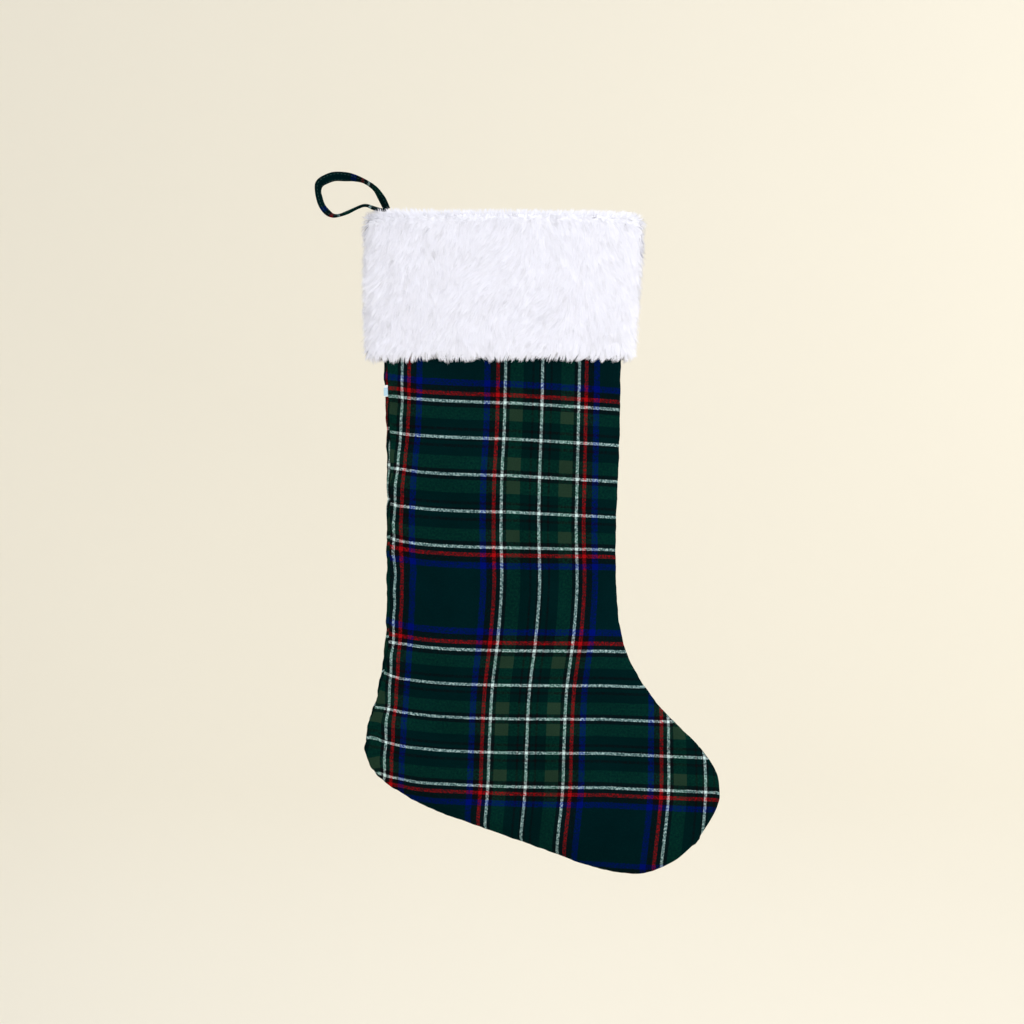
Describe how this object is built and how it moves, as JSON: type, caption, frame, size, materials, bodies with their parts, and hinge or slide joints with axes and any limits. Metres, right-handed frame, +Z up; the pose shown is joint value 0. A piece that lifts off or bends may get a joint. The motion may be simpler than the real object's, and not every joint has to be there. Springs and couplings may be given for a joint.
{
  "type": "hanging stocking",
  "caption": "Lined cloth stocking with a turned-down fur cuff, a strap loop to hang it by and an open mouth to fill.",
  "frame": {"origin": "middle of the hanging loop's eye at rest, where the hook passes through", "axes": "+Z up along the leg, +X from the heel side to the toe side, front faces -Y"},
  "size_m": [0.3092, 0.0524, 0.5368],
  "materials": {
    "tartan_flannel": "brushed twill in dark green with white, red and blue stripes",
    "white_fur": "long clumped pile, matt",
    "white_lining": "plain fine weave, slight sheen",
    "facing_cloth": "plain knit backing, matt",
    "white_thread": "twisted polyester thread",
    "green_thread": "twisted polyester thread",
    "label_ribbon": "fine woven ribbon"
  },
  "bodies": {
    "stocking": {"shell_front": "tartan_flannel", "shell_back": "tartan_flannel", "shell_seam_stitching": "green_thread", "lining_front": "white_lining", "lining_back": "white_lining", "lining_seam_stitching": "white_thread", "cuff_fur_front": "white_fur", "cuff_fur_back": "white_fur", "cuff_facing_front": "facing_cloth", "cuff_facing_back": "facing_cloth", "cuff_seam_stitching": "white_thread", "cuff_hem_stitching": "white_thread", "mouth_stitching": "white_thread", "loop_tab": "tartan_flannel", "loop_bartack": "white_thread"},
    "loop": {"hanging_loop": "tartan_flannel", "loop_edge_stitching": "green_thread"},
    "label": {"side_label": "label_ribbon"}
  },
  "joints": [
    {"name": "loop_swing", "type": "hinge", "parent": "stocking", "child": "loop", "pos_m": [0.033, 0, -0.0134], "axis": [0, 1, 0], "range_deg": [0, 110]},
    {"name": "label_flap", "type": "hinge", "parent": "stocking", "child": "label", "pos_m": [0.0296, 0, -0.152], "axis": [0, 0, 1], "range_deg": [-200, 0]}
  ]
}
